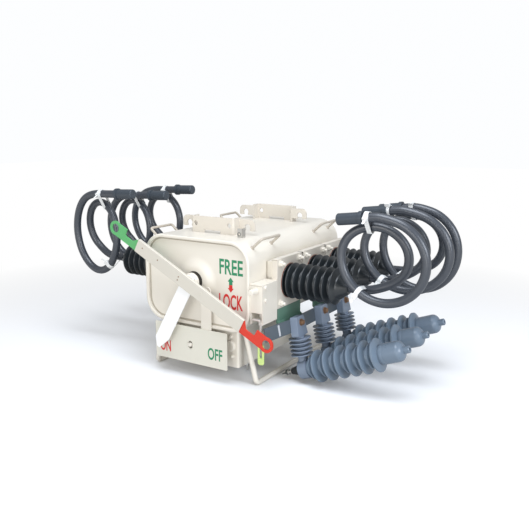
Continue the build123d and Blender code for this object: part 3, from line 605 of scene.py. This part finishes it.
# %% Shape of a tie
tie_width = 0.016
tie_thickness = 0.0020
tie_slack = 0.8
tie_head = (0.013, 0.020, 0.018)
tie_tail = (0.0016, 0.020, 0.009)
tie_top_head = (0.017, 0.014, 0.018)
tail_overlap = 0.002
head_out = 0.55
head_aside = 0.90


def move(bm, place):
    bmesh.ops.transform(bm, matrix=place, verts=bm.verts)


def lift_new(bm, made, height):
    """Raise the vertices that an extrusion made."""
    fresh = [g for g in made["geom"] if isinstance(g, bmesh.types.BMVert)]
    bmesh.ops.translate(bm, verts=fresh, vec=(0, 0, height))


def merge_into(target, part, place):
    """Move one mesh into another, through a placing matrix."""
    move(part, place)
    carrier = bpy.data.meshes.new("carrier")
    part.to_mesh(carrier)
    part.free()
    target.from_mesh(carrier)
    bpy.data.meshes.remove(carrier)


def rounded_block(bm, size, place, round_by):
    block = bmesh.new()
    bmesh.ops.create_cube(block, size=1.0)
    bmesh.ops.scale(block, verts=block.verts, vec=size)
    soften(block, list(block.edges), round_by)
    merge_into(bm, block, Matrix.Translation(place))


def tie_mesh(bm, first, second, along, head_on_top=False):
    """A band round two strands, which pass through it along a direction, with its head at the second."""
    across = second - first
    along = along.normalized()
    across -= along * across.dot(along)
    reach = across.length / 2
    across.normalize()
    place = Matrix((across, along.cross(across), along)).transposed().to_4x4()
    place.translation = (first + second) / 2
    grip = (lead_radius + tie_slack) * MM
    band = bmesh.new()
    bmesh.ops.create_circle(band, cap_ends=False, segments=40, radius=grip)
    for vert in band.verts:
        vert.co.x += math.copysign(reach, vert.co.x) if abs(vert.co.x) > 1e-6 else 0.0
    lift_new(band, bmesh.ops.extrude_edge_only(band, edges=band.edges), tie_width)
    bmesh.ops.translate(band, verts=band.verts, vec=(0, 0, -tie_width / 2))
    bmesh.ops.recalc_face_normals(band, faces=band.faces)
    bmesh.ops.solidify(band, geom=band.faces, thickness=-tie_thickness)
    if head_on_top:
        rounded_block(band, tie_top_head, Vector((reach + grip + tie_top_head[0] / 2, 0, 0)), 1.5)
    else:
        head_place = Vector((reach + grip * head_out, grip * head_aside, 0))
        tail_place = head_place + Vector((0, tie_head[1] / 2 + tie_tail[1] / 2 - tail_overlap, 0))
        rounded_block(band, tie_head, head_place, 1.5)
        rounded_block(band, tie_tail, tail_place, 0.5)
    merge_into(bm, band, place)


print("tie band:", tie_width / MM, "mm wide")

# %% [markdown]
# A spline of order three runs a little inside its points, so the ties are placed on points read from the
# spline itself. A top tie has a run back from the outer lap's top, in millimetres, and an angle on the inner
# lap.

# %% Cable ties
tie_places = {("right", "front"): (26, 110), ("right", "middle"): (36, 112), ("right", "rear"): (14, 96),
              ("left", "front"): (48, 116), ("left", "middle"): (58, 121), ("left", "rear"): (62, 121)}
heads_on_top = {("right", "middle"), ("right", "rear")}
low_tie_angle = 240
line_step = 6


def mesh_of(holder):
    """The evaluated mesh of a text or a curve, which is then removed."""
    scene.collection.objects.link(holder)
    mesh = bpy.data.meshes.new_from_object(holder.evaluated_get(bpy.context.evaluated_depsgraph_get()))
    curve = holder.data
    bpy.data.objects.remove(holder)
    bpy.data.curves.remove(curve)
    return mesh


def line_points(lead):
    """Points along a lead's smooth line, read from its own spline without thickness."""
    line = lead.data.copy()
    line.bevel_depth = 0
    line.resolution_u = 40
    mesh = mesh_of(bpy.data.objects.new("lead_line", line))
    points = [vert.co.copy() for vert in mesh.vertices]
    bpy.data.meshes.remove(mesh)
    return points


def nearest(points, target):
    """The number of the point that lies nearest to a target."""
    return min(range(len(points)), key=lambda n: (points[n] - target).length)


for (side, phase), lead in leads.items():
    ties = bmesh.new()
    line = line_points(lead)
    route = lead_points(side, phase)
    run_back, inner_angle = tie_places[side, phase]
    top_outer = lap_point(side, phase, lap_end) + Vector((-side_sign[side] * run_back * MM, 0, 0))
    top_inner = line[nearest(line, lap_point(side, phase, inner_angle))]
    on_top = (side, phase) in heads_on_top
    tie_mesh(ties, top_inner, line[nearest(line, top_outer)], Vector((1, 0, 0)), on_top)
    near_bushing = line[nearest(line, route[1])]
    low_lap = nearest(line, lap_point(side, phase, low_tie_angle))
    tie_mesh(ties, near_bushing, line[low_lap], line[low_lap + line_step] - line[low_lap - line_step])
    piece = add_piece(f"{side}_{phase}_ties", ties, "tie_nylon")
print("ties:", 2 * len(leads))

# %% [markdown]
# A bushing is a moulded rubber body with seven sheds, which keep rain from making one wet path along it.
# It is a turned shape, so half an outline with sharp corners is spun once round its axis, and every ring
# edge is then beveled, which rounds the rims of the sheds and the roots between them. A thin orange gasket
# shows at its foot.

# %% Bushings
ring_angle = math.radians(14)


def turned(outline, steps, round_by):
    """Spin an outline of (radius, height) in millimetres round Z, and round its ring edges."""
    bm = bmesh.new()
    verts = [bm.verts.new((r * MM, 0, h * MM)) for r, h in outline]
    edges = [bm.edges.new(pair) for pair in zip(verts, verts[1:])]
    bmesh.ops.spin(bm, geom=verts + edges, cent=(0, 0, 0), axis=(0, 0, 1), angle=2 * math.pi, steps=steps,
                   use_merge=True)
    bmesh.ops.remove_doubles(bm, verts=bm.verts, dist=1e-6)
    bmesh.ops.recalc_face_normals(bm, faces=bm.faces)
    rings = [e for e in bm.edges if len(e.link_faces) == 2 and e.calc_face_angle(0) > ring_angle
             and abs(e.verts[0].co.z - e.verts[1].co.z) < 1e-7]
    if round_by:
        soften(bm, rings, round_by, segments=3)
    return bm


def along_axis(origin, axis):
    """A matrix that stands a piece's Z along an axis, at a place in millimetres."""
    place = Vector(axis).to_track_quat("Z", "Y").to_matrix().to_4x4()
    place.translation = Vector(origin) * MM
    return place


def lifted(profile, height):
    """A short outline, moved up along the axis."""
    return [(r, h + height) for r, h in profile]


shed_start = 4.0
shed_pitch = 29.0
shed_count = 7
bushing_shed = [(46, 2), (57, 8), (67, 12.5), (67, 16.5), (57, 21), (47, 27)]
bushing_tip = [(46, 3), (26, 31), (23, 36), (0, 36)]
bushing_outline = [(0, 0), (64, 0), (64, shed_start)]
for n in range(shed_count):
    bushing_outline += lifted(bushing_shed, shed_start + n * shed_pitch)
bushing_outline += lifted(bushing_tip, shed_start + shed_count * shed_pitch)
gasket_outline = [(62, 0), (65.5, 0), (65.5, 1.6), (62, 1.6)]
gasket_sink = 0.4
flange_face_x = 292.0
for side in sides:
    sign = side_sign[side]
    for phase in phases:
        bm = turned(bushing_outline, steps=72, round_by=1.6)
        place = along_axis((sign * flange_face_x, phase_places[phase], bushing_height), (sign, 0, 0))
        move(bm, place)
        piece = add_piece(f"{side}_{phase}_bushing_sheds", bm, "bushing_rubber", sharp_angle=60)
        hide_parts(f"{side}_{phase}_bushing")
    gaskets = bmesh.new()
    for phase in phases:
        foot = (sign * (flange_face_x - gasket_sink), phase_places[phase], bushing_height)
        gasket = turned(gasket_outline, steps=64, round_by=0.5)
        merge_into(gaskets, gasket, along_axis(foot, (sign, 0, 0)))
    add_piece(f"{side}_bushing_gaskets", gaskets, "gasket_orange")
print("bushings:", len(sides) * len(phases), "with", shed_count, "sheds each")

# %% [markdown]
# A surge arrester leads a lightning stroke to earth. It has wide sheds with a narrower one between each
# pair, a smooth cap with a groove and a domed end, and a small nub. Sheds could be stacked on a rod, but a
# moulded skin has no joints, so it is turned like a bushing, from four short outlines.

# %% Arresters
arrester_tilt = math.radians(20.4)
arrester_axis = Vector((math.cos(arrester_tilt), 0, math.sin(arrester_tilt)))
arrester_places = {"front": -176.0, "middle": 16.0, "rear": 208.0}
arrester_pitch = 48.2
arrester_pairs = 6
first_pair = 29.5
small_shed = [(33, -8), (41, -3), (45, -2), (45, 2), (40, 4), (33, 6)]
large_shed = [(33, -11), (48, -5), (60, -3), (60, 3), (46, 7), (34, 10)]
cap_collar = [(34, 0), (36, 3), (37, 6), (37, 14), (36, 15), (36, 16.5), (37, 17.5)]
cap_nub = [(13, 0), (13, 19), (11, 21), (6, 21), (6, 15), (0, 15)]
cap_length = 87
dome_radius = 24
bar_corner = (322, 216)
block_lean = math.radians(11.5)
block_out = 16
block_drop = 170
foot_run = 26


def arrester_start(phase):
    """The foot of an arrester, on the resin block that hangs from the bar."""
    out = Vector((math.cos(block_lean), 0, math.sin(block_lean)))
    down = Vector((math.sin(block_lean), 0, -math.cos(block_lean)))
    corner = Vector((bar_corner[0], arrester_places[phase], bar_corner[1]))
    return corner + out * block_out + down * block_drop + arrester_axis * foot_run


def arrester_outline():
    outline = [(0, 0), (33, 0), (33, 4)]
    for n in range(arrester_pairs):
        small = first_pair + n * arrester_pitch - arrester_pitch / 4
        outline += lifted(small_shed, small) + lifted(large_shed, small + arrester_pitch / 2)
    end = first_pair + (arrester_pairs - 1) * arrester_pitch + arrester_pitch / 2
    cap_end = end + cap_length
    outline += lifted(cap_collar, end)
    for degrees in range(0, 76, 15):
        turn = math.radians(degrees)
        rise = dome_radius * math.sin(turn)
        outline.append((cap_nub[0][0] + dome_radius * math.cos(turn), cap_end - dome_radius + rise))
    return outline + lifted(cap_nub, cap_end)


for phase in phases:
    bm = turned(arrester_outline(), steps=80, round_by=1.0)
    move(bm, along_axis(arrester_start(phase), arrester_axis))
    piece = add_piece(f"{phase}_arrester_sheds", bm, "arrester_silicone", sharp_angle=50)
    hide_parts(f"{phase}_arrester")
print("arresters:", len(phases), "with", 2 * arrester_pairs, "sheds each")

# %% [markdown]
# Fasteners are few shapes used many times: a hexagon nut on its washer with a stud through it, and a low
# round head that serves as bolt or rivet. Each could be a linked copy, but the export wants one mesh for a
# set, so each shape is built round Z and merged into its set by a matrix.

# %% Shapes of fasteners
washer_ratio = 1.28
nut_ratio = 0.92
stud_ratio = 0.54
head_rounding = 0.45
head_sink = 0.2
facet_angle = 30


def disc(bm, radius, low, high, segments, round_by):
    """A round or many-sided disc between two heights, with a softened upper rim."""
    plug = bmesh.new()
    bmesh.ops.create_cone(plug, cap_ends=True, segments=segments, radius1=radius * MM, radius2=radius * MM,
                          depth=(high - low) * MM)
    rims = [e for e in plug.edges
            if abs(e.verts[0].co.z - e.verts[1].co.z) < 1e-9 and e.verts[0].co.z > 0]
    soften(plug, rims, round_by)
    merge_into(bm, plug, Matrix.Translation((0, 0, (low + high) / 2 * MM)))


def nut_and_stud(radius, stud_reach):
    bm = bmesh.new()
    disc(bm, radius * washer_ratio, -head_sink, 2.0, 28, 0.4)
    disc(bm, radius, 1.8, 1.8 + radius * nut_ratio, 6, 0.9)
    disc(bm, radius * stud_ratio, 0.0, stud_reach, 18, 1.0)
    return bm


def round_head(radius, height):
    bm = bmesh.new()
    disc(bm, radius, -head_sink, height, 28, height * head_rounding)
    return bm


def fasteners(name, finish, shape, sizes, places, axis, body="switch"):
    """One piece for a set of equal fasteners that sit on one solid."""
    bm = bmesh.new()
    for place in places:
        merge_into(bm, shape(*sizes), along_axis(place, axis))
    add_piece(name, bm, finish, facet_angle, body)


print("washer:", washer_ratio, "times its nut")

# %% [markdown]
# The nuts on the flanges are painted over with the tank. Bolts on the lock box, the plate and the handle
# are round heads, and the resin blocks have bronze bolts. They could be solids of the frame, but only the
# eye needs them. Those on the handle ride on it, so that they turn with it.

# %% Fasteners
to_front = (0, -1, 0)
flange_bolt_y = 70.0
flange_bolt_z = 74.0
for side in sides:
    corners = [(side_sign[side] * flange_face_x, phase_places[phase] + dy, bushing_height + dz)
               for phase in phases
               for dy in (-flange_bolt_y, flange_bolt_y) for dz in (-flange_bolt_z, flange_bolt_z)]
    fasteners(f"{side}_flange_nuts", "cream_enamel",
              nut_and_stud, (11.0, 22.0), corners, (side_sign[side], 0, 0))
fasteners("lock_box_bolts", "cream_enamel", round_head, (8.0, 5.5),
          [(292, -326.5, 384), (292, -326.5, 337)], (1, 0, 0))
fasteners("strap_bolt", "cream_enamel", round_head, (9.5, 5.0),
          [(55, -363, 348)], to_front)
fasteners("plate_bolt", "cream_enamel", round_head, (8.5, 7.0),
          [(-19, -363.2, 132)], to_front)
fasteners("mechanism_bolts", "cream_enamel", nut_and_stud, (6.5, 11.0),
          [(139, -320, 179), (144, -320, 101)], to_front)
fasteners("handle_rivets", "bronze_bolt", round_head, (2.6, 0.8),
          [(-202, -409, 491), (-129.5, -409, 453), (-31.7, -409, 401), (-37, -409, 389)],
          to_front, "handle")
# The handle bolt shares the handle's darker cream, painted shade.
fasteners("handle_bolt", "shaded_handle_enamel", round_head, (7.0, 1.2),
          [(67.5, -409, 350)], to_front, "handle")
fasteners("box_drain_bolt", "zinc_plate", nut_and_stud, (8.0, 30.0),
          [(160, -246, 58)], (0, 0, -1))
bar_lean = Matrix.Rotation(-block_lean, 4, "Y")
block_face = [Vector((bar_corner[0], y, bar_corner[1])) + bar_lean @ Vector((34, 0, 8))
              for y in arrester_places.values()]
fasteners("arrester_block_bolts", "bronze_bolt", nut_and_stud, (10.5, 13.0),
          block_face, bar_lean @ Vector((1, 0, 0)))
print("flange nuts:", 2 * len(corners))

# %% [markdown]
# Each arrester ends in a stud that carries two nuts, a washer and a wing nut for the earth wire. A turned
# shape would lose the flats of the nuts, so discs of six and more sides are stacked along Z. The stack is
# then laid on the stud's line, which points down and inward from the boot.

# %% Arrester terminals
boot_length = 44.0
boot_start = 38.0
boot_dip = math.radians(21.0)
boot_axis = Vector((-math.cos(boot_dip), 0, -math.sin(boot_dip)))
wing_size = (0.034, 0.0035, 0.011)
wing_height = 34.5
nut_washer_nut = ((9.5, 17.0, 23.5, 6, 0.8), (10.5, 23.5, 25.5, 24, 0.4), (8.5, 25.5, 31.0, 6, 0.8))
terminals = bmesh.new()
for phase in phases:
    stack = bmesh.new()
    for numbers in nut_washer_nut:
        disc(stack, *numbers)
    rounded_block(stack, wing_size, Vector((0, 0, wing_height)) * MM, 1.2)
    stud_start = arrester_start(phase) - arrester_axis * boot_start + boot_axis * boot_length
    merge_into(terminals, stack, along_axis(stud_start, boot_axis))
add_piece("arrester_terminals", terminals, "dull_steel", facet_angle)
print("terminals:", len(phases))

# %% [markdown]
# Dark lines tell the eye where one part ends and the next begins. A dark rubber ring round the shaft is
# painted shade, for the shadow gap between the shaft's collar and the dome, and a brown strip round the
# cover inside its rim is painted shade, for the rim's shadow on the recessed cover. Paint could draw that
# line, but a narrow sloping strip also catches the light. It is two rounded frames, bridged.

# %% Painted shade round the shaft and inside the cover's rim
def ring_mesh(inner, outer, height):
    return turned([(inner, 0), (outer, 0), (outer, height), (inner, height), (inner, 0)], 48, 0)


def facing_front(x, y, z):
    """A matrix that lays an XY drawing upright on a face that looks to the front."""
    return Matrix.Translation(Vector((x, y, z)) * MM) @ Matrix.Rotation(math.radians(90), 4, "X")


def rounded_frame(bm, half_x, half_z, corner, height):
    """A closed loop of edges round a rectangle with round corners, in millimetres."""
    verts = []
    for quarter, (sx, sz) in enumerate(((1, 1), (-1, 1), (-1, -1), (1, -1))):
        for step in range(13):
            turn = math.radians(90 * quarter + 7.5 * step)
            x = sx * (half_x - corner) + corner * math.cos(turn)
            z = sz * (half_z - corner) + corner * math.sin(turn)
            verts.append(bm.verts.new((x * MM, z * MM, height * MM)))
    for pair in zip(verts, verts[1:] + verts[:1]):
        bm.edges.new(pair)


cover_face = -343.0
cover_middle = 374
cover_half_width = 227
cover_half_height = 155
cover_corner = 72
shade_line_insets = {-0.2: 1.8, 6.0: 0.2}
# A dark ring round the shaft's collar: painted shade, for the shadow gap between the collar and the dome.
shaft_gap_shade = ring_mesh(17.0, 36.0, 2.0)
move(shaft_gap_shade, along_axis((0, -354.9, 380), to_front))
add_piece("shaft_gap_shade", shaft_gap_shade, "gap_shade_rubber")
# A brown strip round the cover inside its rim: painted shade, for the rim's shadow on the recessed cover.
cover_shade_line = bmesh.new()
for inset, height in shade_line_insets.items():
    half_sizes = (cover_half_width - inset, cover_half_height - inset)
    rounded_frame(cover_shade_line, *half_sizes, cover_corner - inset, height)
bmesh.ops.bridge_loops(cover_shade_line, edges=cover_shade_line.edges)
move(cover_shade_line, facing_front(0, cover_face, cover_middle))
bmesh.ops.recalc_face_normals(cover_shade_line, faces=cover_shade_line.faces)
print("cover seal:", len(cover_shade_line.faces), "faces")
add_piece("cover_shade_line", cover_shade_line, "shadow_line_paint")

# %% [markdown]
# Small things finish the sheet metal. Dark strips in the gaps between flanges are painted shade, and so are
# thin brown lines along the lock box's lid and side, at the bushing box's joint with the tank and along the
# flange's front edge, where those edges cast thin shadow lines. There is also a ring round the hole in the
# earth tab, and weld beads where the lifting rods meet the tank, in the rods' darker cream. Boxes and discs
# serve for all of them, because only their rims catch light.

# %% Painted shade lines, earth ring and welds
gap_shade_size = (0.0220, 0.0086, 0.0060)
gap_shade_x = 280.2
gap_shade_z = 467.6
flange_gaps = (-58.0, 134.0)
# Dark rubber strips in the gaps between the flange plates: painted shade in the gaps.
for side in sides:
    gap_shades = bmesh.new()
    for y in flange_gaps:
        rounded_block(gap_shades, gap_shade_size, Vector((side_sign[side] * gap_shade_x, y, gap_shade_z)) * MM, 0.8)
    add_piece(f"{side}_flange_gap_shades", gap_shades, "gap_shade_rubber")
# Thin brown lines along the lock box's lid and side, the bushing box's joint with the tank and the flange's
# front edge: painted shadow lines.
lid_shadow_lines = bmesh.new()
for size, place in (((52.4, 0.8, 1.8), (266, -347, 391.5)), ((0.8, 1.4, 140), (292, -345.4, 321)),
                    ((2.4, 2.4, 62), (240.8, -234.4, 427)), ((23.0, 0.8, 2.4), (280.2, -245.6, 468))):
    rounded_block(lid_shadow_lines, Vector(size) * MM, Vector(place) * MM, 0.3)
add_piece("lid_shadow_lines", lid_shadow_lines, "shadow_line_paint")
earth_ring = ring_mesh(5.05, 7.2, 1.0)
move(earth_ring, along_axis((144.5, -271.9, 555), to_front))
add_piece("earth_tab_ring", earth_ring, "dull_steel")
rod_lean = math.radians(42.0)
rod_feet = (-296.5, -168.5, 168.5, 296.5)
shoulder_centre = (155, 457)
shoulder_radius = 84.5
rod_welds = bmesh.new()
for sign in side_sign.values():
    outward = Vector((sign * math.cos(rod_lean), 0, math.sin(rod_lean)))
    for y in rod_feet:
        bead = bmesh.new()
        disc(bead, 8.5, -1.0, 3.2, 24, 2.4)
        foot = Vector((sign * shoulder_centre[0], y, shoulder_centre[1])) + outward * shoulder_radius
        merge_into(rod_welds, bead, along_axis(foot, outward))
# The beads share the rods' darker cream, painted shade.
add_piece("rod_welds", rod_welds, "shaded_rod_enamel")
print("seams:", len(sides) * len(flange_gaps), "weld beads:", len(side_sign) * len(rod_feet))

# %% [markdown]
# Paint marks lie flat on their plates. An image texture would blur close by, so each mark is a thin sheet
# of letters or a flat outline, pressed a hair into the paint below so that no light leaks under it. The
# words and the arrows are the plain ones that any such lock carries.

# %% Shapes of marks
mark_sink = 0.0002
mark_rise = 0.0003
mark_depth = mark_sink + mark_rise
letter_weight = 0.02


def word_mesh(word, width, height):
    """A word stretched to a width and height in millimetres, centred on the origin."""
    curve = bpy.data.curves.new(word, "FONT")
    curve.body = word
    curve.align_x = "CENTER"
    curve.align_y = "CENTER"
    curve.offset = letter_weight
    curve.extrude = 0.5
    mesh = mesh_of(bpy.data.objects.new(word, curve))
    bm = bmesh.new()
    bm.from_mesh(mesh)
    bpy.data.meshes.remove(mesh)
    low = Vector([min(v.co[i] for v in bm.verts) for i in range(3)])
    high = Vector([max(v.co[i] for v in bm.verts) for i in range(3)])
    bmesh.ops.translate(bm, verts=bm.verts, vec=-(low + high) / 2)
    size = high - low
    bmesh.ops.scale(bm, verts=bm.verts, vec=(width * MM / size.x, height * MM / size.y, mark_depth / size.z))
    bmesh.ops.translate(bm, verts=bm.verts, vec=(0, 0, (mark_rise - mark_sink) / 2))
    return bm


def flat_mesh(outline):
    bm = bmesh.new()
    face = bm.faces.new([bm.verts.new((x * MM, y * MM, -mark_sink)) for x, y in outline])
    lift_new(bm, bmesh.ops.extrude_face_region(bm, geom=[face]), mark_depth)
    bmesh.ops.recalc_face_normals(bm, faces=bm.faces)
    return bm


print("mark depth:", round(mark_depth / MM, 2), "mm")

# %% [markdown]
# The cover shows the lock's two states, green above and red below, with an arrow towards each. The plate
# shows the two places of the pointer. Each word could be a piece, but the marks of one colour on one solid
# share a finish, so they are one piece. A pale strip of film is set on the bent end of the bar.

# %% Marks
plate_face = -366.0
arrow_up = [(-7.5, 0), (7.5, 0), (7.5, 12), (13, 12), (0, 28), (-13, 12), (-7.5, 12)]
arrow_down = [(x, -y) for x, y in reversed(arrow_up)]
marks = {
    "green": [("front_cover", word_mesh("FREE", 102, 56), (157, cover_face, 445)),
              ("front_cover", flat_mesh(arrow_up), (155, cover_face, 380)),
              ("indicator_plate", word_mesh("OFF", 66, 46), (97, plate_face, 113))],
    "red": [("front_cover", word_mesh("LOCK", 104, 56), (155, cover_face, 317)),
            ("front_cover", flat_mesh(arrow_down), (155, cover_face, 380)),
            ("indicator_plate", word_mesh("ON", 52, 46), (-139, plate_face, 110))],
}
for colour, rows in marks.items():
    for node in ("front_cover", "indicator_plate"):
        sheet = bmesh.new()
        for owner, drawing, place in rows:
            if owner == node:
                merge_into(sheet, drawing, facing_front(*place))
        add_piece(f"{node}_{colour}_marks", sheet, f"{colour}_mark", facet_angle)

strip_size = (0.0008, 0.009, 0.040)
bend_run = 126.0
bend_depth = 30.0
strip_run = 59.0
strip_face = 4
strip_y = -264
bar_strip = bmesh.new()
rounded_block(bar_strip, strip_size, Vector(), 0.3)
strip_offset = Vector((strip_face - bend_depth * strip_run / bend_run, strip_y, 0)) * MM
strip_turn = Matrix.Rotation(-math.atan2(bend_depth, bend_run), 4, "Z")
strip_place = (Matrix.Translation(Vector((bar_corner[0], 0, bar_corner[1])) * MM) @ bar_lean
               @ Matrix.Translation(strip_offset) @ strip_turn)
move(bar_strip, strip_place)
add_piece("bar_strip", bar_strip, "strip_film")
print("marks:", sum(len(rows) for rows in marks.values()))
